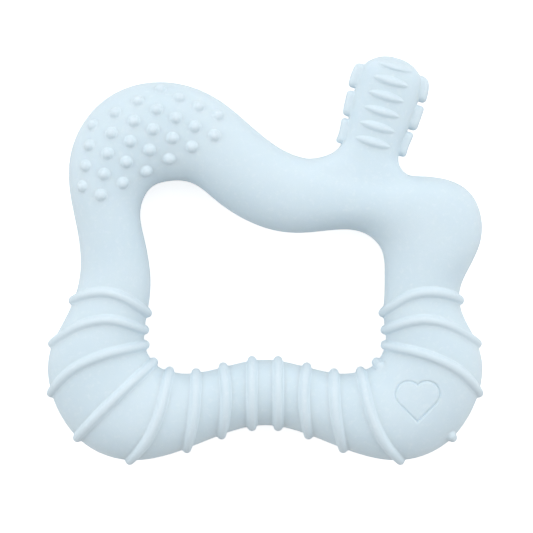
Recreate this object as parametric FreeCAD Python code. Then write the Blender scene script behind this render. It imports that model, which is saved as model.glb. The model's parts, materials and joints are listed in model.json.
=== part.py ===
import FreeCAD, Part
import math
import os

from FreeCAD import Vector

# Teething ring: a closed loop of soft silicone to grip, with wrapped ribs round its lower half, round
# bumps on its upper left lobe, and a gum brush standing out of its top bar. It lies on its back face.
# Millimetres and degrees. X runs across the ring, Y towards the brush, Z up through the thickness.
# Shapes are made about the mid-plane, where the mould parts, and lifted onto the resting plane last.

Z = Vector(0, 0, 1)

# Cross-sections of the loop: outer edge x, y, inner edge x, y, and thickness. They run clockwise from
# the middle of the bottom bar. The lower ones are mirrored to the right-hand side.
LOWER_SECTIONS = [
    (0.0, -37.6, 0.0, -22.6, 15.0),
    (-10.0, -39.8, -9.5, -24.3, 15.0),
    (-20.0, -43.7, -17.0, -25.8, 16.0),
    (-31.0, -45.6, -22.0, -25.2, 17.0),
    (-41.5, -41.6, -25.0, -23.7, 17.0),
    (-48.2, -32.0, -27.0, -20.8, 17.0),
    (-49.3, -21.5, -27.6, -17.2, 17.0),
    (-45.4, -12.8, -27.0, -12.6, 16.0),
]
UPPER_SECTIONS = [
    (-42.3, -3.5, -26.1, -5.0, 15.0),
    (-42.8, 6.5, -27.3, 4.0, 15.0),
    (-44.7, 17.0, -28.5, 10.8, 16.0),
    (-43.3, 28.0, -26.6, 16.1, 17.0),
    (-35.4, 37.6, -22.9, 18.0, 17.0),
    (-23.0, 40.8, -18.6, 18.2, 17.0),
    (-11.3, 37.2, -14.6, 16.5, 16.5),
    (-2.3, 30.0, -9.4, 12.3, 16.0),
    (7.0, 24.0, -1.6, 8.0, 15.5),
    (17.5, 22.4, 8.0, 6.3, 15.5),
    (28.0, 19.8, 18.8, 7.1, 16.0),
    (38.5, 19.1, 25.0, 4.7, 17.0),
    (47.2, 15.1, 27.1, 0.8, 17.0),
    (49.3, 4.7, 27.3, -4.0, 16.5),
    (45.0, -5.0, 27.2, -8.5, 15.5),
]
SECTION_POINTS = 16  # points round each cross-section, from the outer edge over the front
LOOP_FULLNESS = 2.2  # superellipse exponent: 2 is an ellipse, more is squarer
CUBIC = 3  # the degree of the splines
SPLINE_ROUNDS = 50  # rounds of correction, more than enough to settle a closed spline's poles

# Ribs: the section number, counted from the middle of the bottom bar, at which each one crosses the
# outer edge, the front and back crowns, and the inner edge. The right-hand ribs mirror them.
RIB_CROSSINGS = [
    (0.30, 0.30, 0.30),
    (1.00, 0.90, 1.00),
    (1.80, 1.70, 1.80),
    (3.00, 2.70, 2.95),
    (4.15, 4.20, 4.20),
    (5.15, 5.60, 5.45),
    (6.25, 6.90, 6.35),
    (7.40, 7.65, 7.10),
]
RIB_RADIUS = 1.05
RIB_LIFT = 0.10  # how far the rib's centre line stands above the loop's surface
RIB_STEPS = 40
RIB_SIDES = 10
RIB_NUDGE = 0.01  # the short step, in section points, that finds a rib's direction
OPEN_RIB = 5  # the fifth rib on the right stops short of the front crown, where the motif is
OPEN_RIB_END = 1.12  # how far its ends come round from the loop's edges onto the front, in section points

# Bumps on the upper left lobe: a slanting lattice, from the bump at the top.
FIRST_BUMP = Vector(-23.65, 38.81, 0)
BUMP_STEP = Vector(4.36, -1.98, 0)
ROW_STEP = Vector(-5.14, -2.70, 0)
ROW_SPANS = [(0, 3), (0, 4), (0, 4), (0, 4), (1, 4), (2, 4), (3, 4)]  # each row's first and last bump
BUMP_RADIUS = 1.28
BUMP_SINK = 0.12  # how far a bump's centre lies below the surface

# Gum brush: a flat-fronted stem on an axis that leans to the right, flared where it leaves the loop.
BRUSH_LEAN = 16.5
BRUSH_MIDDLE = Vector(27.0, 35.4, 0)
BRUSH_FULLNESS = 3.3
# Its sections: height along the axis from BRUSH_MIDDLE, reach to the left, reach to the right, thickness.
BRUSH_SECTIONS = [
    (-22.5, 13.5, 13.5, 14.2),
    (-19.0, 13.2, 13.6, 13.6),
    (-16.4, 12.0, 13.0, 12.8),
    (-14.4, 8.9, 10.6, 12.1),
    (-12.6, 7.3, 7.9, 11.6),
    (-10.6, 6.5, 6.7, 11.2),
    (-7.5, 6.4, 6.5, 11.0),
    (-3.5, 7.0, 7.0, 11.0),
    (1.0, 7.3, 7.3, 11.0),
    (4.8, 7.4, 7.4, 11.0),
]
BRUSH_TIP = 11.4
DOME_BASE = 5.6  # the height at which the tip's rounded end begins

RIDGE_COUNT = 6
RIDGE_PITCH = 3.6
RIDGE_LENGTH = 8.4
RIDGE_WIDTH = 1.9
RIDGE_HEIGHT = 1.0
PAD_PITCH = 6.45
PAD_SHIFT = -1.1  # how far the middle pads sit from BRUSH_MIDDLE, along the axis
PAD_STAGGER = 0.5  # the right-hand pads sit this much higher than that, and the left-hand ones lower
PAD_LENGTH = 5.8
PAD_DEPTH = 5.6  # through the thickness
# From the brush's axis to the pads' outer faces, from the lowest pad up, and to their hidden inner ends.
RIGHT_PAD_REACHES = [8.3, 9.1, 9.0]
LEFT_PAD_REACHES = [8.0, 8.7, 9.1]
PAD_INSET = 5.0
PAD_CORNER = 0.9

# Heart motif engraved on the front of the lower right lobe.
HEART_MIDDLE = Vector(34.4, -32.2, 0)
HEART_WIDTH = 10.0
GROOVE_WIDTH = 0.50
GROOVE_DEPTH = 0.30

# A rounded end is drawn in to a small flat in these steps, from the flat back to the full section.
TIP_TURNS = [math.radians(angle) for angle in (80, 60, 40, 20)]
FRONT = 20.0  # a height clear of the front face


def closed_poles(points):
    """The poles of the closed, evenly knotted cubic spline through the points."""
    poles = points
    for _ in range(SPLINE_ROUNDS):
        after = poles[1:] + poles[:1]
        poles = [point * 1.5 - (poles[k - 1] + after[k]) * 0.25 for k, point in enumerate(points)]
    return poles[-1:] + poles[:-1]


def open_poles(points):
    """The poles of the open cubic spline through the points."""
    curve = Part.BSplineCurve()
    curve.interpolate(Points=points, Parameters=[float(k) for k in range(len(points))])
    return curve.getPoles()


def skin(grid, closed):
    """A smooth surface through rows of points. Each row is a loop; the last may also close on the first."""
    find_poles = closed_poles if closed else open_poles
    columns = [find_poles(list(column)) for column in zip(*grid)]
    poles = [closed_poles(list(row)) for row in zip(*columns)]
    rows, sides = len(grid), len(grid[0])
    end_mult = [CUBIC + 1]
    row_mults = [1] * (rows + 1) if closed else end_mult + [1] * (rows - 2) + end_mult
    side_mults = [1] * (sides + 1)
    row_knots = [float(k) for k in range(len(row_mults))]
    side_knots = [float(k) for k in range(len(side_mults))]
    surface = Part.BSplineSurface()
    surface.buildFromPolesMultsKnots(
        poles, row_mults, side_mults, row_knots, side_knots, closed, True, CUBIC, CUBIC
    )
    return surface


def solid_of(faces):
    """A closed solid with its volume the right way out."""
    shell = Part.makeShell(faces)
    if len(faces) > 1:
        shell.sewShape()
    solid = Part.makeSolid(shell)
    if solid.Volume < 0:
        solid.reverse()
    return solid


def superellipse(turn, fullness):
    """The point at this angle, in radians, on a unit superellipse."""
    c, s = math.cos(turn), math.sin(turn)
    power = 2 / fullness
    return math.copysign(abs(c) ** power, c), math.copysign(abs(s) ** power, s)


def section(centre, reach, half_thickness, fullness):
    """Points round one cross-section that reaches this far to each side of its centre, and up and down."""
    turns = [2 * math.pi * k / SECTION_POINTS for k in range(SECTION_POINTS)]
    spots = [superellipse(turn, fullness) for turn in turns]
    return [centre + reach * across + Z * (half_thickness * up) for across, up in spots]


def loop_surface(inset=0.0):
    """The loop's own surface, without the brush, taken in all round by the inset."""
    mirrored = [(-ox, oy, -ix, iy, thickness) for ox, oy, ix, iy, thickness in LOWER_SECTIONS[:0:-1]]
    grid = []
    for ox, oy, ix, iy, thickness in LOWER_SECTIONS + UPPER_SECTIONS + mirrored:
        outer, inner = Vector(ox, oy, 0), Vector(ix, iy, 0)
        reach = (outer - inner) / 2
        reach = reach * (1 - inset / reach.Length)
        grid.append(section((outer + inner) / 2, reach, thickness / 2 - inset, LOOP_FULLNESS))
    return skin(grid, True)


def ring_body(loop):
    """The loop with the heart's outline engraved on its front."""
    depth_limit = solid_of([loop_surface(GROOVE_DEPTH).toShape()])
    return loop.cut(heart_band().cut(depth_limit))


def heart_band():
    """An upright wall along the heart: a square on its corner, with a half disc on each upper side."""
    radius = HEART_WIDTH / (2 + math.sqrt(2))
    half = radius * math.sqrt(2)
    left, right = Vector(-half, 0, 0), Vector(half, 0, 0)
    point, cleft = Vector(0, -half, 0), Vector(0, half, 0)
    outline = Part.Wire([
        Part.Arc(cleft, Vector(half, half, 0), right).toShape(),
        Part.makeLine(right, point),
        Part.makeLine(point, left),
        Part.Arc(left, Vector(-half, half, 0), cleft).toShape(),
    ])
    outer = Part.Face(outline.makeOffset2D(GROOVE_WIDTH / 2))
    inner = Part.Face(outline.makeOffset2D(-GROOVE_WIDTH / 2))
    band = outer.cut(inner).extrude(Z * FRONT)
    band.translate(HEART_MIDDLE)
    return band


def rib_point(surface, crossings, v):
    """Where a rib's centre line is, v section points round from the outer edge, and the way outwards."""
    outer, crown, inner = crossings
    middle = (outer + inner) / 2
    turn = 2 * math.pi * v / SECTION_POINTS
    sway = (outer - inner) / 2 * math.cos(turn)
    u = (middle + crown) / 2 + sway + (middle - crown) / 2 * math.cos(2 * turn)
    rows = len(LOWER_SECTIONS) * 2 + len(UPPER_SECTIONS) - 1
    point = surface.value(u % rows, v % SECTION_POINTS)
    along_u = surface.getDN(u % rows, v % SECTION_POINTS, 1, 0)
    along_v = surface.getDN(u % rows, v % SECTION_POINTS, 0, 1)
    out = along_v.cross(along_u).normalize()
    return point + out * RIB_LIFT, out


def rib_circle(surface, crossings, v, radius, ahead):
    """Points round a rib at v, taken ahead along the rib by this much."""
    centre, out = rib_point(surface, crossings, v)
    beyond = rib_point(surface, crossings, v + RIB_NUDGE)[0]
    before = rib_point(surface, crossings, v - RIB_NUDGE)[0]
    forward = (beyond - before).normalize()
    out = (out - forward * out.dot(forward)).normalize()
    side = forward.cross(out)
    centre = centre + forward * ahead
    turns = [2 * math.pi * k / RIB_SIDES for k in range(RIB_SIDES)]
    return [centre + (out * math.cos(turn) + side * math.sin(turn)) * radius for turn in turns]


def rib(surface, loop, crossings, is_open):
    """A half-round rib: a round bar bent about the loop, less the loop. An open one has rounded ends."""
    grid = []
    if is_open:
        start, end = SECTION_POINTS / 2 - OPEN_RIB_END, SECTION_POINTS + OPEN_RIB_END
        for turn in TIP_TURNS:
            radius, ahead = RIB_RADIUS * math.cos(turn), RIB_RADIUS * math.sin(turn)
            grid.append(rib_circle(surface, crossings, start, radius, -ahead))
        for k in range(RIB_STEPS + 1):
            v = start + (end - start) * k / RIB_STEPS
            grid.append(rib_circle(surface, crossings, v, RIB_RADIUS, 0))
        for turn in reversed(TIP_TURNS):
            radius, ahead = RIB_RADIUS * math.cos(turn), RIB_RADIUS * math.sin(turn)
            grid.append(rib_circle(surface, crossings, end, radius, ahead))
        bar = solid_with_ends(skin(grid, False))
    else:
        for k in range(RIB_STEPS):
            v = SECTION_POINTS * k / RIB_STEPS
            grid.append(rib_circle(surface, crossings, v, RIB_RADIUS, 0))
        bar = solid_of([skin(grid, True).toShape()])
    return bar.cut(loop)


def solid_with_ends(surface):
    """The solid inside a tube-like surface, closed by a flat face at each end."""
    wall = surface.toShape()
    ends = [Part.Face(Part.Wire([edge])) for edge in wall.Edges if edge.isClosed()]
    return solid_of([wall] + ends)


def gum_bumps(surface, loop, side):
    """The round bumps on the front (side 1) or the back (side -1) of the upper left lobe."""
    balls = []
    for row, (first, last) in enumerate(ROW_SPANS):
        for k in range(first, last + 1):
            place = FIRST_BUMP + BUMP_STEP * k + ROW_STEP * row
            line = Part.LineSegment(place + Z * FRONT * side, place).toShape()
            hits = [vertex.Point for vertex in line.common(loop).Vertexes]
            top = max(hits, key=lambda spot: spot.z * side)
            u, v = surface.parameter(top)
            out = surface.getDN(u, v, 0, 1).cross(surface.getDN(u, v, 1, 0)).normalize()
            balls.append(Part.makeSphere(BUMP_RADIUS, top - out * BUMP_SINK, out).toNurbs())
    return Part.makeCompound(balls).cut(loop)


def brush_directions():
    """The unit vectors to the brush's right and along its axis."""
    lean = math.radians(BRUSH_LEAN)
    return Vector(math.cos(lean), -math.sin(lean), 0), Vector(math.sin(lean), math.cos(lean), 0)


def at_brush(across, along, up=0.0):
    right, axis = brush_directions()
    return BRUSH_MIDDLE + right * across + axis * along + Z * up


def brush_bar():
    """The whole brush, from inside the loop's bar to its tip."""
    right = brush_directions()[0]
    grid = []
    for height, left_reach, right_reach, thickness in BRUSH_SECTIONS:
        centre = at_brush((right_reach - left_reach) / 2, height)
        reach = right * ((left_reach + right_reach) / 2)
        grid.append(section(centre, reach, thickness / 2, BRUSH_FULLNESS))
    for turn in reversed(TIP_TURNS):
        centre = at_brush(0, DOME_BASE + (BRUSH_TIP - DOME_BASE) * math.sin(turn))
        shrunk = math.cos(turn)
        grid.append(section(centre, reach * shrunk, thickness / 2 * shrunk, BRUSH_FULLNESS))
    return solid_with_ends(skin(grid, False))


def turned_to_brush(shape, place):
    """A shape made about the origin, turned to lie square to the brush's axis, and moved to its place."""
    shape.rotate(Vector(0, 0, 0), Z, -BRUSH_LEAN)
    shape.translate(place)
    return shape


def brush_ridges(bar, loop, side):
    """The lens-shaped ridges across the brush's front (side 1) or back (side -1)."""
    lenses = []
    for k in range(RIDGE_COUNT):
        height = (k - (RIDGE_COUNT - 1) / 2) * RIDGE_PITCH
        probe = Part.LineSegment(at_brush(0, height, FRONT * side), at_brush(0, height)).toShape()
        top = max(vertex.Z * side for vertex in probe.common(bar).Vertexes)
        stretch = FreeCAD.Matrix()
        stretch.scale(RIDGE_LENGTH / 2, RIDGE_WIDTH / 2, RIDGE_HEIGHT)
        lens = Part.makeSphere(1).transformGeometry(stretch)
        lenses.append(turned_to_brush(lens, at_brush(0, height, top * side)))
    return Part.makeCompound(lenses).cut(bar).cut(loop)


def side_pads(bar, loop, side):
    """The three rounded pads down the brush's right (side 1) or left (side -1) edge."""
    pads = []
    reaches = RIGHT_PAD_REACHES if side == 1 else LEFT_PAD_REACHES
    for k, reach in enumerate(reaches):
        height = PAD_SHIFT + side * PAD_STAGGER + (k - (len(reaches) - 1) / 2) * PAD_PITCH
        width = reach - PAD_INSET
        corner = Vector(-width / 2, -PAD_LENGTH / 2, -PAD_DEPTH / 2)
        pad = Part.makeBox(width, PAD_LENGTH, PAD_DEPTH, corner)
        pad = pad.makeFillet(PAD_CORNER, pad.Edges)
        pads.append(turned_to_brush(pad, at_brush(side * (PAD_INSET + reach) / 2, height)))
    return Part.makeCompound(pads).cut(bar).cut(loop)


def all_parts():
    surface = loop_surface()
    loop = solid_of([surface.toShape()])
    bar = brush_bar()
    parts = {"ring_body": ring_body(loop), "brush_stem": bar.cut(loop)}
    mirror_plane = (Vector(0, 0, 0), Vector(1, 0, 0))
    for k, crossings in enumerate(RIB_CROSSINGS, 1):
        left = rib(surface, loop, crossings, False)
        mirrored = rib(surface, loop, crossings, True) if k == OPEN_RIB else left
        parts[f"rib_{k:02d}"] = left
        parts[f"rib_{k + len(RIB_CROSSINGS):02d}"] = mirrored.mirror(*mirror_plane)
    for name, side in (("front", 1), ("back", -1)):
        parts["gum_bumps_" + name] = gum_bumps(surface, loop, side)
        parts["brush_ridges_" + name] = brush_ridges(bar, loop, side)
    for name, side in (("right", 1), ("left", -1)):
        parts["side_pads_" + name] = side_pads(bar, loop, side)
    return parts


def main():
    parts = all_parts()
    bounds = Part.makeCompound(list(parts.values())).optimalBoundingBox(False)
    home = Vector(-bounds.Center.x, -bounds.Center.y, -bounds.ZMin)
    os.makedirs("parts", exist_ok=True)
    for name, shape in parts.items():
        shape.translate(home)
        shape.exportStep(f"parts/{name}.step")


main()
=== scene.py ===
import json
import math

import bpy
import numpy as np
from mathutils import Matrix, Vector
from mathutils.bvhtree import BVHTree

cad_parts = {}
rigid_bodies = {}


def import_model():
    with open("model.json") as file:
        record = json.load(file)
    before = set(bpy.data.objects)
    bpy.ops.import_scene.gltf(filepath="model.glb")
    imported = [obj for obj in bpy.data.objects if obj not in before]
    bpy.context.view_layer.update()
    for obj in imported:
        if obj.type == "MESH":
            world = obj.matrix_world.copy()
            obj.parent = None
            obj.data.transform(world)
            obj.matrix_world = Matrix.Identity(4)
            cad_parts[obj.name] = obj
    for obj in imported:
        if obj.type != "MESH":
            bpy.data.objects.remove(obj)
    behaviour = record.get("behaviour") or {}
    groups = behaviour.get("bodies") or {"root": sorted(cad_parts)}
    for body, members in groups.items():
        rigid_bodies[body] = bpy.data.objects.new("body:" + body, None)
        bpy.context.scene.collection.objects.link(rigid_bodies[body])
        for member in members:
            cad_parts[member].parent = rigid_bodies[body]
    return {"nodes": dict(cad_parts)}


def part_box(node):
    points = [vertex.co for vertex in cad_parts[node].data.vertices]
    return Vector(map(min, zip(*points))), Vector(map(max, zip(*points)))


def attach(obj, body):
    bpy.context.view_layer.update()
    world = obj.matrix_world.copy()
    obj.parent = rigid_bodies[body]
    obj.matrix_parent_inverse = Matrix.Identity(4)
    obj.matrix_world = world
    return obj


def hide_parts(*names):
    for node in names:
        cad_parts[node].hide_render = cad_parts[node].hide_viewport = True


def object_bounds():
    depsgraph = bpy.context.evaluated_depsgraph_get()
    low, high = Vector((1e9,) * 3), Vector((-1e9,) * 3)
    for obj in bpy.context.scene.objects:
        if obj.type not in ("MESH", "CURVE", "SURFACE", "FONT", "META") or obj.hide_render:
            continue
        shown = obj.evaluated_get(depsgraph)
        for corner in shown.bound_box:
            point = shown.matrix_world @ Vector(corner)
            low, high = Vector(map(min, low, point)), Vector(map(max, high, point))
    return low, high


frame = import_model()
cad_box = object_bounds()
MM = 0.001

# --------------------------------------------------------------------------- the moulded body
# The ring, and the brush stem that grows out of its top bar, are one moulding of soft silicone, so they
# share one skin with no seam. The skin is drawn over copies of the two solids and smoothed, and it is
# eased into a hollow where the stem leaves the bar.

SKIN_MESH = 0.50 * MM
SKIN_SMOOTHING = 10
NECK_REACH = 2.6 * MM  # the stem's root is eased this far from both solids' surfaces
NECK_SMOOTHING = 60


def pick(*things):
    """Select these objects alone, with the first one active."""
    for other in bpy.context.selected_objects:
        other.select_set(False)
    for thing in things:
        thing.select_set(True)
    bpy.context.view_layer.objects.active = things[0]


def copy_of(name):
    """A loose copy of a CAD piece, with its doubled points merged."""
    thing = bpy.data.objects.new(name + "_copy", frame["nodes"][name].data.copy())
    bpy.context.scene.collection.objects.link(thing)
    pick(thing)
    bpy.ops.object.mode_set(mode="EDIT")
    bpy.ops.mesh.select_all(action="SELECT")
    bpy.ops.mesh.remove_doubles(threshold=1e-7)
    bpy.ops.object.mode_set(mode="OBJECT")
    return thing


def finish_with(thing, kind, **settings):
    """Add a modifier with these settings, and apply it."""
    pick(thing)
    modifier = thing.modifiers.new(kind.lower(), kind)
    for key, value in settings.items():
        setattr(modifier, key, value)
    bpy.ops.object.modifier_apply(modifier=modifier.name)


def surface_of(thing):
    """The object's surface, ready for nearest points and rays."""
    return BVHTree.FromObject(thing, bpy.context.evaluated_depsgraph_get())


def points_of(thing):
    flat = np.empty(len(thing.data.vertices) * 3, np.float32)
    thing.data.vertices.foreach_get("co", flat)
    return flat.reshape(-1, 3).astype(float)


def name_piece(thing, name):
    thing.name = thing.data.name = name
    return thing


ring, stem = copy_of("ring_body"), copy_of("brush_stem")
ring_surface, stem_surface = surface_of(ring), surface_of(stem)
pick(ring, stem)
bpy.ops.object.join()
body = name_piece(ring, "moulded_body")
finish_with(body, "REMESH", mode="VOXEL", voxel_size=SKIN_MESH)

neck = body.vertex_groups.new(name="neck")
for vertex in body.data.vertices:
    far = max(surface.find_nearest(vertex.co)[3] for surface in (ring_surface, stem_surface))
    if far < NECK_REACH:
        neck.add([vertex.index], 1 - (far / NECK_REACH) ** 2, "REPLACE")
finish_with(body, "SMOOTH", factor=0.5, iterations=SKIN_SMOOTHING)
finish_with(body, "SMOOTH", factor=0.5, iterations=NECK_SMOOTHING, vertex_group="neck")
body.vertex_groups.clear()


# The silicone is tinted right through, a pale powdery blue, and light sinks a little way in. It has a
# fine matte grain, slight clouds in its colour, and a trace of dust that catches light. Its raised parts are
# painted a little paler, as painted light for the extra light they catch, and a fine line runs round the
# sides where the two mould halves met.

# Each has its colour, the colour of its clouds, and the colour of its dust.
BODY_TINTS = [(0.622, 0.747, 0.822, 1), (0.645, 0.763, 0.834, 1), (0.72, 0.815, 0.875, 1)]
# The raised parts' tints are painted paler than the body's. This is painted light, standing in for the extra
# light that raised parts catch.
RAISED_PAINTED_LIGHT_TINTS = [(0.648, 0.768, 0.840, 1), (0.666, 0.780, 0.849, 1), (0.73, 0.82, 0.88, 1)]
PARTING_WIDTH = 0.10 * MM


def new_group(name, inputs, outputs):
    """A shader group with these named number inputs and outputs, and its two ends."""
    group = bpy.data.node_groups.new(name, "ShaderNodeTree")
    for label, kind, default in inputs:
        socket = group.interface.new_socket(label, in_out="INPUT", socket_type=kind)
        socket.default_value = default
    for label, kind in outputs:
        group.interface.new_socket(label, in_out="OUTPUT", socket_type=kind)
    return group, group.nodes.new("NodeGroupInput"), group.nodes.new("NodeGroupOutput")


def noise(tree, vector, scale, detail, roughness):
    node = tree.nodes.new("ShaderNodeTexNoise")
    node.inputs["Detail"].default_value = detail
    node.inputs["Roughness"].default_value = roughness
    tree.links.new(scale, node.inputs["Scale"])
    tree.links.new(vector, node.inputs["Vector"])
    return node.outputs["Fac"]


def calculate(tree, operation, *values):
    node = tree.nodes.new("ShaderNodeMath")
    node.operation = operation
    for socket, value in zip(node.inputs, values):
        set_or_link(tree, value, socket)
    return node.outputs["Value"]


def set_or_link(tree, value, socket):
    if isinstance(value, bpy.types.NodeSocket):
        tree.links.new(value, socket)
    else:
        socket.default_value = value


def spread(tree, value, low, high, to_low, to_high):
    """A smooth rise from one number to another as a value goes from low to high."""
    node = tree.nodes.new("ShaderNodeMapRange")
    node.interpolation_type = "SMOOTHSTEP"
    for label, number in zip(("From Min", "From Max", "To Min", "To Max"), (low, high, to_low, to_high)):
        node.inputs[label].default_value = number
    tree.links.new(value, node.inputs["Value"])
    return node.outputs["Result"]


def mould_grain():
    """Matte mould grain: masks of colour clouds and dust, a roughness and a height, all from place."""
    numbers = ("Cloud Scale", 60.0), ("Grain Scale", 1500.0), ("Dust Scale", 900.0)
    group, start, end = new_group(
        "mould_grain",
        [(label, "NodeSocketFloat", number) for label, number in numbers],
        [(label, "NodeSocketFloat") for label in ("Clouds", "Dust", "Roughness", "Height")],
    )
    place = group.nodes.new("ShaderNodeTexCoord").outputs["Object"]
    clouds = noise(group, place, start.outputs["Cloud Scale"], 3, 0.55)
    grain = noise(group, place, start.outputs["Grain Scale"], 3, 0.6)
    dust = noise(group, place, start.outputs["Dust Scale"], 4, 0.65)
    group.links.new(spread(group, clouds, 0.35, 0.65, 0, 1), end.inputs["Clouds"])
    group.links.new(spread(group, dust, 0.50, 0.72, 0, 1), end.inputs["Dust"])
    group.links.new(spread(group, dust, 0.30, 0.70, 0.50, 0.72), end.inputs["Roughness"])
    group.links.new(grain, end.inputs["Height"])
    return group


def parting_line():
    """A mask of the fine line at one height, all round the piece."""
    group, start, end = new_group(
        "parting_line",
        [("Level", "NodeSocketFloat", 0.0), ("Width", "NodeSocketFloat", PARTING_WIDTH)],
        [("Line", "NodeSocketFloat")],
    )
    place = group.nodes.new("ShaderNodeTexCoord").outputs["Object"]
    split = group.nodes.new("ShaderNodeSeparateXYZ")
    group.links.new(place, split.inputs["Vector"])
    above = calculate(group, "SUBTRACT", split.outputs["Z"], start.outputs["Level"])
    away = calculate(group, "DIVIDE", calculate(group, "ABSOLUTE", above), start.outputs["Width"])
    group.links.new(spread(group, away, 0.4, 1.0, 1, 0), end.inputs["Line"])
    return group


def mix_colour(tree, factor, first, second):
    node = tree.nodes.new("ShaderNodeMix")
    node.data_type = "RGBA"
    sockets = {socket.identifier: socket for socket in node.inputs}
    set_or_link(tree, factor, sockets["Factor_Float"])
    set_or_link(tree, first, sockets["A_Color"])
    set_or_link(tree, second, sockets["B_Color"])
    return next(socket for socket in node.outputs if socket.identifier == "Result_Color")


def silicone(name, tints, glow):
    """The silicone in these tints. Glow is how much of its light has sunk in first."""
    blue, cloud, dust = tints
    material = bpy.data.materials.new(name)
    material.use_nodes = True
    tree = material.node_tree
    shader = tree.nodes["Principled BSDF"]
    grain = tree.nodes.new("ShaderNodeGroup")
    grain.node_tree = GRAIN
    line = tree.nodes.new("ShaderNodeGroup")
    line.node_tree = LINE
    line.inputs["Level"].default_value = (cad_box[0].z + cad_box[1].z) / 2
    clouded = mix_colour(tree, grain.outputs["Clouds"], blue, cloud)
    dusty = mix_colour(tree, calculate(tree, "MULTIPLY", grain.outputs["Dust"], 0.45), clouded, dust)
    tree.links.new(dusty, shader.inputs["Base Color"])
    tree.links.new(grain.outputs["Roughness"], shader.inputs["Roughness"])
    height = calculate(tree, "ADD", grain.outputs["Height"], line.outputs["Line"])
    bump = tree.nodes.new("ShaderNodeBump")
    bump.inputs["Strength"].default_value = 0.4
    bump.inputs["Distance"].default_value = 0.05 * MM
    tree.links.new(height, bump.inputs["Height"])
    tree.links.new(bump.outputs["Normal"], shader.inputs["Normal"])
    shader.inputs["Subsurface Weight"].default_value = glow
    shader.inputs["Subsurface Radius"].default_value = (1.0, 1.1, 1.3)
    shader.inputs["Subsurface Scale"].default_value = 1.2 * MM
    shader.inputs["IOR"].default_value = 1.41
    shader.inputs["Sheen Weight"].default_value = 0.12
    shader.inputs["Sheen Roughness"].default_value = 0.5
    return material


GRAIN, LINE = mould_grain(), parting_line()
BODY_SILICONE = silicone("pale_blue_silicone", BODY_TINTS, 0.35)
# A paler copy of the silicone for the raised parts, painted lighter as painted light.
RAISED_PAINTED_LIGHT_SILICONE = silicone("pale_blue_silicone_painted_lighter", RAISED_PAINTED_LIGHT_TINTS, 0.0)


# By default a piece gets the paler silicone, which is painted lighter as painted light for raised parts.
def show_as(thing, *replaced, material=RAISED_PAINTED_LIGHT_SILICONE):
    """Give a finished piece its silicone and smooth shading, and put it in place of the CAD pieces."""
    thing.data.materials.clear()
    thing.data.materials.append(material)
    pick(thing)
    bpy.ops.object.shade_smooth()
    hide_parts(*replaced)
    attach(thing, "root")


# --------------------------------------------------------------------------- heart motif
# A plain outline of a heart, pressed 0.3 mm into the front of the lower right lobe by a raised line in the
# mould. The skin is cut finer along the line, and pressed in to a rounded groove.

HEART_WIDTH = 10.0 * MM
HEART_OFFSET = Vector((0.25, -0.40, 0)) * MM  # from the middle of the short rib beside it
GROOVE_HALF = 0.40 * MM
GROOVE_DEPTH = 0.30 * MM
GROOVE_CUTS = 4
HEART_STEPS = 40


def heart_line(width):
    """Points round a heart: a square stood on its corner, with a half circle on each upper side."""
    radius = width / (2 + math.sqrt(2))
    half = radius * math.sqrt(2)
    points = []
    for k in range(HEART_STEPS):
        turn = math.radians(135 - 180 * k / HEART_STEPS)
        points.append((half / 2 + radius * math.cos(turn), half / 2 + radius * math.sin(turn)))
    for k in range(HEART_STEPS + 1):
        points.append((half * (1 - k / HEART_STEPS), -half * k / HEART_STEPS))
    return points + [(-x, y) for x, y in points]


low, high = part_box("rib_13")
heart_middle = (low + high) / 2 + HEART_OFFSET
heart = np.array(heart_line(HEART_WIDTH)) + np.array(heart_middle.xy)


def from_heart(points):
    """How far each point of the front is from the heart's line, seen from in front, up to its width."""
    offsets = points - np.array(heart_middle)
    near = (offsets[:, 2] > 0) & (np.abs(offsets[:, :2]).max(1) < HEART_WIDTH)
    far = np.full(len(points), HEART_WIDTH)
    apart = points[near][:, None, :2] - heart[None]
    far[near] = np.sqrt((apart ** 2).sum(2)).min(1)
    return far


pick(body)
for element in list(body.data.polygons) + list(body.data.edges):
    element.select = False
for vertex, far in zip(body.data.vertices, from_heart(points_of(body))):
    vertex.select = bool(far < GROOVE_HALF + SKIN_MESH)
bpy.ops.object.mode_set(mode="EDIT")
bpy.ops.mesh.select_mode(type="VERT")
bpy.ops.mesh.select_more()
bpy.ops.mesh.subdivide(number_cuts=GROOVE_CUTS)
bpy.ops.object.mode_set(mode="OBJECT")
ways_in = [-vertex.normal for vertex in body.data.vertices]
for vertex, way_in, far in zip(body.data.vertices, ways_in, from_heart(points_of(body))):
    if far < GROOVE_HALF:
        vertex.co += way_in * GROOVE_DEPTH * (0.5 + 0.5 * math.cos(math.pi * far / GROOVE_HALF))
show_as(body, "ring_body", "brush_stem", material=BODY_SILICONE)
body_surface = surface_of(body)

# --------------------------------------------------------------------------- ribs
# Sixteen half-round ribs wrap the lower half of the ring, eight to a side. Each is a tube laid along the
# middle of its CAD rib, with a hollow at its root where it runs out onto the ring's skin.

RIB_STEPS = 120
RIB_WAVES = 5  # a rib's path round the limb is smooth down to waves of this number
RIB_RADIUS, RIB_LIFT, RIB_ROOT = 1.02 * MM, 0.08 * MM, 0.50 * MM
SKIRT = 0.30 * MM  # how far a piece's edge runs on below the skin
TUCK = 0.006 * MM  # how deep the foot of a hollow root lies


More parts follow.
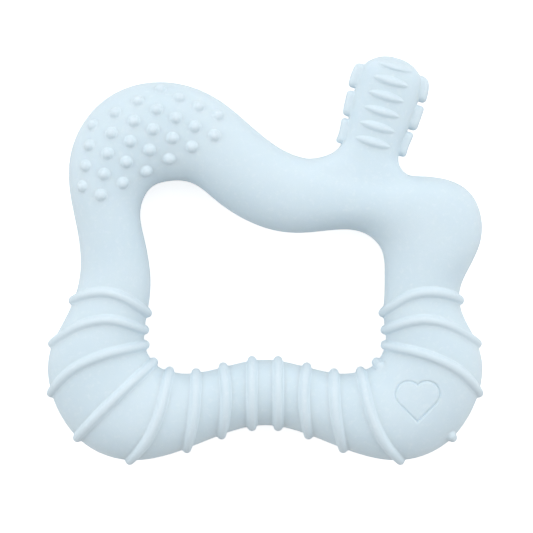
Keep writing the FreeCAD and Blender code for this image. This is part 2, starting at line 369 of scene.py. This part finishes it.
class Profile:
    """A round crown with a hollow root: a circle of this radius, lifted off the skin, with a fillet."""

    def __init__(self, radius, lift, root):
        self.radius, self.lift, self.root = radius, lift, root
        self.turn, self.foot = 0, radius + root
        if lift < root:
            self.foot = math.sqrt((radius + root) ** 2 - (root - lift) ** 2)
            self.turn = math.atan2(root - lift, self.foot)

    def steps(self, crown_steps, root_steps):
        """Distances out from the middle, with heights, from beside the top to the buried edge."""
        places = []
        for k in range(1, crown_steps + 1):
            turn = math.pi / 2 + (self.turn - math.pi / 2) * k / crown_steps
            places.append((self.radius * math.cos(turn), self.lift + self.radius * math.sin(turn)))
        if self.lift > self.root:
            places.append((self.radius, self.root))
        for k in range(1, root_steps):
            turn = self.turn + (math.pi / 2 - self.turn) * k / root_steps
            across, down = self.root * math.cos(turn), self.root * math.sin(turn)
            places.append((self.foot - across, self.root - down))
        return places + [(self.foot, -TUCK), (self.foot + 0.5 * SKIRT, -5 * TUCK)]

    def height_at(self, out):
        """The height this far out from the middle of a round piece whose crown doesn't overhang."""
        if out < self.radius * math.cos(self.turn):
            return self.lift + math.sqrt(self.radius ** 2 - out ** 2)
        if out < self.foot:
            return self.root - math.sqrt(self.root ** 2 - (self.foot - out) ** 2)
        return -TUCK


def onto_skin(surface, place, out, height, reach=3 * MM):
    """The point at this height above the surface, straight under a place that stands over it."""
    hit = surface.ray_cast(place + out * reach, -out, 4 * reach)[0]
    if hit is None:
        hit = surface.find_nearest(place)[0]
    return hit + out * height


def even_out(values, waves):
    """Keep only the slow waves of values round a loop."""
    spectrum = np.fft.rfft(values, axis=0)
    spectrum[waves + 1:] = 0
    return np.fft.irfft(spectrum, len(values), axis=0)


def rib_path(points):
    """Points on the ring's skin down the middle of a closed rib's points, and the way out at each."""
    middle = points.mean(0)
    axes = np.linalg.svd(points - middle, full_matrices=False)[2]
    flat = (points - middle) @ axes.T
    turns = np.arctan2(flat[:, 1], flat[:, 0])
    slots = ((turns + math.pi) / (2 * math.pi) * RIB_STEPS).astype(int) % RIB_STEPS
    sideways, reach = np.zeros(RIB_STEPS), np.zeros(RIB_STEPS)
    for k in range(RIB_STEPS):
        near = np.isin(slots, [(k - 1) % RIB_STEPS, k, (k + 1) % RIB_STEPS])
        sideways[k] = (flat[near, 2].min() + flat[near, 2].max()) / 2
        reach[k] = np.hypot(flat[near, 0], flat[near, 1]).max()
    sideways, reach = even_out(sideways, RIB_WAVES), even_out(reach, RIB_WAVES)
    path, outs = [], []
    for k in range(RIB_STEPS):
        turn = (k + 0.5) / RIB_STEPS * 2 * math.pi - math.pi
        way = Vector(axes[0] * math.cos(turn) + axes[1] * math.sin(turn))
        start = Vector(middle + axes[2] * sideways[k]) + way * (reach[k] + 1 * MM)
        hit, out, _, _ = body_surface.ray_cast(start, -way)
        path.append(hit)
        outs.append(out)
    path = [Vector(place) for place in even_out(np.array(path), 2 * RIB_WAVES)]
    return path, [Vector(out) for out in even_out(np.array(outs), 2 * RIB_WAVES)]


def rib_row(place, ahead, out, profile, further=0.0):
    """Points across a rib, from one buried edge over the crown to the other and back underneath.

    Further is how far past the middle of a rounded end the row lies.
    """
    side = ahead.cross(out).normalized()
    out = side.cross(ahead).normalized()
    half = profile.steps(6, 5)
    across = [(-s, h) for s, h in reversed(half)] + [(0, profile.lift + profile.radius)] + half
    shrink = math.sqrt(max(0, 1 - (further / profile.foot) ** 2))
    if further:
        across = [(s * shrink, h) for s, h in across]
        across = [(s, min(h, profile.height_at(math.hypot(further, s)))) for s, h in across]
    under = [(half[-1][0] * f * shrink, -SKIRT) for f in (0.6, 0.0, -0.6)]
    middle = place + ahead * further
    return [onto_skin(body_surface, middle + side * s, out, h) for s, h in across + under]


def finish_seams(thing):
    """Merge the points that meet, and turn every face outwards."""
    pick(thing)
    bpy.ops.object.mode_set(mode="EDIT")
    bpy.ops.mesh.select_all(action="SELECT")
    bpy.ops.mesh.remove_doubles(threshold=1e-7)
    bpy.ops.mesh.normals_make_consistent(inside=False)
    bpy.ops.object.mode_set(mode="OBJECT")


def tube_through(rows, name, closed):
    """A tube whose rows close across: shaped from a torus, or from a grid if its ends are apart."""
    bpy.ops.object.select_all(action="DESELECT")
    if closed:
        bpy.ops.mesh.primitive_torus_add(major_segments=len(rows), minor_segments=len(rows[0]))
    else:
        rows = [row + row[:1] for row in rows]
        bpy.ops.mesh.primitive_grid_add(x_subdivisions=len(rows[0]) - 1, y_subdivisions=len(rows) - 1)
    thing = name_piece(bpy.context.object, name)
    for vertex, place in zip(thing.data.vertices, [place for row in rows for place in row]):
        vertex.co = place
    finish_seams(thing)
    return thing


def solid_points(name):
    copy = copy_of(name)
    points = points_of(copy)
    bpy.data.objects.remove(copy)
    return points


rib_profile = Profile(RIB_RADIUS, RIB_LIFT, RIB_ROOT)
for number in [k for k in range(1, 17) if k != 13]:
    path, outs = rib_path(solid_points(f"rib_{number:02d}"))
    ways = [(path[(k + 1) % RIB_STEPS] - path[k - 1]).normalized() for k in range(RIB_STEPS)]
    rows = [rib_row(*place, rib_profile) for place in zip(path, ways, outs)]
    show_as(tube_through(rows, f"wrapped_rib_{number:02d}", True), f"rib_{number:02d}")

# The fifth rib on the right stops short of the motif: it has two rounded ends on the front, and runs
# round the back between them, on the same path as its fellow on the left.

path, outs = rib_path(solid_points("rib_05") * (-1, 1, 1))
short_copy = copy_of("rib_13")
short_surface = surface_of(short_copy)
bpy.data.objects.remove(short_copy)
covered = [short_surface.find_nearest(place)[3] < 0.3 * MM for place in path]
first = next(k for k in range(RIB_STEPS) if covered[k] and not covered[k - 1])
turned = [(first + k) % RIB_STEPS for k in range(RIB_STEPS)]
stretch = [k for k in turned if covered[k]]
trim = round(RIB_RADIUS / (path[stretch[1]] - path[stretch[0]]).length)
stretch = stretch[trim:-trim]
ways = {k: (path[(k + 1) % RIB_STEPS] - path[k - 1]).normalized() for k in stretch}
END_STEPS = 8
overs = [rib_profile.foot * math.sin(math.pi / 2 * k / END_STEPS) for k in range(END_STEPS, 0, -1)]
head, tail = stretch[0], stretch[-1]
rows = [rib_row(path[head], -ways[head], outs[head], rib_profile, over)[::-1] for over in overs]
rows += [rib_row(path[k], ways[k], outs[k], rib_profile) for k in stretch]
rows += [rib_row(path[tail], ways[tail], outs[tail], rib_profile, over) for over in reversed(overs)]
show_as(tube_through(rows, "wrapped_rib_13", False), "rib_13")

# --------------------------------------------------------------------------- gum bumps
# Twenty-eight round domes on each side of the upper left lobe, moulded with the ring. Each rises from a
# small hollow at its foot. One is modelled flat, and a copy is set on the skin for every dome.

BUMP_RADIUS, BUMP_LIFT, BUMP_ROOT = 1.26 * MM, -0.15 * MM, 0.45 * MM
BUMP_SIDES = 32


def raised_form(name, rows, sides, plan):
    """A flat-footed form built up from a circle. Rows are its half lengths, half widths and heights."""
    bpy.ops.object.select_all(action="DESELECT")
    bpy.ops.mesh.primitive_circle_add(vertices=sides, radius=1)
    thing = name_piece(bpy.context.object, name)
    for vertex in thing.data.vertices:
        x, y = plan(math.atan2(vertex.co.y, vertex.co.x))
        vertex.co = (x * rows[0][0], y * rows[0][1], rows[0][2])
    bpy.ops.object.mode_set(mode="EDIT")
    bpy.ops.mesh.select_all(action="SELECT")
    for (long, wide, height), (next_long, next_wide, next_height) in zip(rows, rows[1:]):
        bpy.ops.mesh.extrude_edges_move()
        growth = (next_long / long, next_wide / wide, 1)
        bpy.ops.transform.resize(value=growth, center_override=(0, 0, height))
        bpy.ops.transform.translate(value=(0, 0, next_height - height))
    bpy.ops.mesh.extrude_edges_move()
    bpy.ops.mesh.merge(type="CENTER")
    bpy.ops.object.mode_set(mode="OBJECT")
    for vertex in thing.data.vertices:
        vertex.select = vertex.index < sides
    bpy.ops.object.mode_set(mode="EDIT")
    bpy.ops.mesh.extrude_edges_move()
    bpy.ops.transform.resize(value=(0.7, 0.7, 1), center_override=(0, 0, 0))
    bpy.ops.transform.translate(value=(0, 0, -SKIRT))
    bpy.ops.mesh.extrude_edges_move()
    bpy.ops.mesh.merge(type="CENTER")
    bpy.ops.object.mode_set(mode="OBJECT")
    finish_seams(thing)
    return thing


def set_on_skin(form, at, out, along):
    """A copy of a flat form, laid on the skin at a place, with its length along a direction."""
    thing = form.copy()
    thing.data = form.data.copy()
    bpy.context.scene.collection.objects.link(thing)
    along = (along - out * along.dot(out)).normalized()
    side = out.cross(along)
    for vertex in thing.data.vertices:
        place = at + along * vertex.co.x + side * vertex.co.y
        vertex.co = onto_skin(body_surface, place, out, vertex.co.z)
    return thing


def solids_in(name):
    """The points of each separate solid in a CAD piece."""
    copy = copy_of(name)
    bpy.ops.object.mode_set(mode="EDIT")
    bpy.ops.mesh.select_all(action="SELECT")
    bpy.ops.mesh.separate(type="LOOSE")
    bpy.ops.object.mode_set(mode="OBJECT")
    loose = list(bpy.context.selected_objects)
    clouds = [points_of(thing) for thing in loose]
    for thing in loose:
        bpy.data.objects.remove(thing)
    return clouds


def joined(things, name):
    pick(*things)
    bpy.ops.object.join()
    return name_piece(bpy.context.object, name)


def round_plan(turn):
    return math.cos(turn), math.sin(turn)


def middle_of(points):
    return Vector((points.min(0) + points.max(0)) / 2)


bump_profile = Profile(BUMP_RADIUS, BUMP_LIFT, BUMP_ROOT)
rows = [(s, s, h) for s, h in reversed(bump_profile.steps(7, 5))]
bump = raised_form("bump", rows, BUMP_SIDES, round_plan)
for side in ("front", "back"):
    bumps = []
    for points in solids_in("gum_bumps_" + side):
        at, out, _, _ = body_surface.find_nearest(middle_of(points))
        bumps.append(set_on_skin(bump, at, out, Vector((1, 0, 0))))
    show_as(joined(bumps, "bumps_" + side), "gum_bumps_" + side)
bpy.data.objects.remove(bump)

# --------------------------------------------------------------------------- gum brush ridges
# Six leaf-shaped ridges lie across each face of the brush, pointed at both ends. One is modelled flat, and
# a copy is laid on the skin for every ridge.

HALF_LENGTH, HALF_WIDTH, RIDGE_LIFT, RIDGE_ROOT = 3.95 * MM, 0.95 * MM, -0.10 * MM, 0.40 * MM
LEAF_POINT = 0.22  # 0 is an ellipse, more is more pointed
FORM_SIDES = 48


def leaf_plan(turn):
    return math.cos(turn), math.sin(turn) * abs(math.sin(turn)) ** LEAF_POINT


rows = []
for s, h in reversed(Profile(HALF_WIDTH, RIDGE_LIFT, RIDGE_ROOT).steps(7, 5)):
    rows.append((min(s, HALF_WIDTH) * HALF_LENGTH / HALF_WIDTH + max(0, s - HALF_WIDTH), s, h))
ridge = raised_form("ridge", rows, FORM_SIDES, leaf_plan)
places = sorted([middle_of(points) for points in solids_in("brush_ridges_front")], key=lambda place: place.y)
lowest, highest = places[0], places[-1]
brush_axis = Vector(((highest - lowest).x, (highest - lowest).y, 0)).normalized()
brush_right = brush_axis.cross(Vector((0, 0, 1)))
for side, out in (("front", Vector((0, 0, 1))), ("back", Vector((0, 0, -1)))):
    ridges = []
    for points in solids_in("brush_ridges_" + side):
        ridges.append(set_on_skin(ridge, middle_of(points), out, brush_right))
    show_as(joined(ridges, "ridges_" + side), "brush_ridges_" + side)
bpy.data.objects.remove(ridge)

# --------------------------------------------------------------------------- side pads
# Three rounded pads stand out of each edge of the brush, one above the other, with a narrow gap between
# them. Each is modelled flat at the size of its CAD pad, then laid on the skin.

PAD_CORNER, PAD_ROOT = 0.85 * MM, 0.22 * MM


def rounded_box_plan(turn):
    c, s = math.cos(turn), math.sin(turn)
    return math.copysign(abs(c) ** 0.5, c), math.copysign(abs(s) ** 0.5, s)


def pad_form(size, height):
    """A pad of this length, and depth through the brush, that stands this high."""
    profile = Profile(PAD_CORNER, height - PAD_CORNER, PAD_ROOT)
    long, wide = size.x / 2 - PAD_CORNER, size.y / 2 - PAD_CORNER
    rows = [(long + s, wide + s, h) for s, h in reversed(profile.steps(6, 3))]
    rows += [(long * f, wide * f, height) for f in (1.0, 0.75, 0.5, 0.25)]
    return raised_form("pad", rows, FORM_SIDES, rounded_box_plan)


for side, out in (("right", brush_right), ("left", -brush_right)):
    pads = []
    for points in solids_in("side_pads_" + side):
        at = middle_of(points)
        skin = onto_skin(body_surface, at, out, 0, reach=6 * MM)
        spans = [points @ np.array(way) for way in (brush_axis, Vector((0, 0, 1)))]
        size = Vector([span.max() - span.min() for span in spans])
        form = pad_form(size, (points @ np.array(out)).max() - skin.dot(out))
        pads.append(set_on_skin(form, at, out, brush_axis))
        bpy.data.objects.remove(form)
    show_as(joined(pads, "pads_" + side), "side_pads_" + side)

# --------------------------------------------------------------------------- studio
# A white table in a softly lit room. Three broad soft lights stand low behind and to either side, and a
# fainter one hangs overhead, so the near side is the darker one. The table glows for the camera alone.

TABLE_GLOW = 0.65
ROOM_GLOW = 0.45
SOFT_BOX_SIZE = 0.8

bpy.ops.object.select_all(action="DESELECT")
bpy.ops.mesh.primitive_plane_add(size=3, location=(0, 0, 0))
floor = name_piece(bpy.context.object, "table_top")
paper = bpy.data.materials.new("white_table")
paper.use_nodes = True
sheet = paper.node_tree.nodes["Principled BSDF"]
sheet.inputs["Base Color"].default_value = (0.75, 0.75, 0.75, 1)
sheet.inputs["Roughness"].default_value = 0.9
sheet.inputs["Emission Color"].default_value = (1, 1, 1, 1)
seen = paper.node_tree.nodes.new("ShaderNodeLightPath").outputs["Is Camera Ray"]
glow = calculate(paper.node_tree, "MULTIPLY", seen, TABLE_GLOW)
paper.node_tree.links.new(glow, sheet.inputs["Emission Strength"])
floor.data.materials.append(paper)

world = bpy.data.worlds.new("soft_white_room")
world.use_nodes = True
world.node_tree.nodes["Background"].inputs["Color"].default_value = (1, 1, 1, 1)
world.node_tree.nodes["Background"].inputs["Strength"].default_value = ROOM_GLOW
bpy.context.scene.world = world


def soft_box(name, place, power):
    """A broad square light that faces the ring."""
    light = bpy.data.lights.new(name, "AREA")
    light.size, light.energy = SOFT_BOX_SIZE, power
    lamp = bpy.data.objects.new(name, light)
    lamp.location = place
    lamp.rotation_euler = (Vector(place) * -1).to_track_quat("-Z", "Y").to_euler()
    bpy.context.scene.collection.objects.link(lamp)


soft_box("back_light", (0.0, 0.85, 0.52), 3.1)
soft_box("left_light", (-0.85, 0.1, 0.52), 3.6)
soft_box("right_light", (0.85, 0.1, 0.52), 3.6)
soft_box("overhead_light", (0.0, 0.15, 1.0), 2.0)

VIEW_WIDTH = 121.7 * MM
VIEW_HEIGHT = 600 * MM
camera = bpy.data.objects.new("camera", bpy.data.cameras.new("camera"))
camera.location = (0.34 * MM, -1.34 * MM, VIEW_HEIGHT + 10 * MM)
camera.data.lens = camera.data.sensor_width * VIEW_HEIGHT / VIEW_WIDTH
camera.data.clip_start, camera.data.clip_end = 0.01, 10
bpy.context.scene.collection.objects.link(camera)
bpy.context.scene.camera = camera
bpy.context.scene.view_settings.view_transform = "Standard"
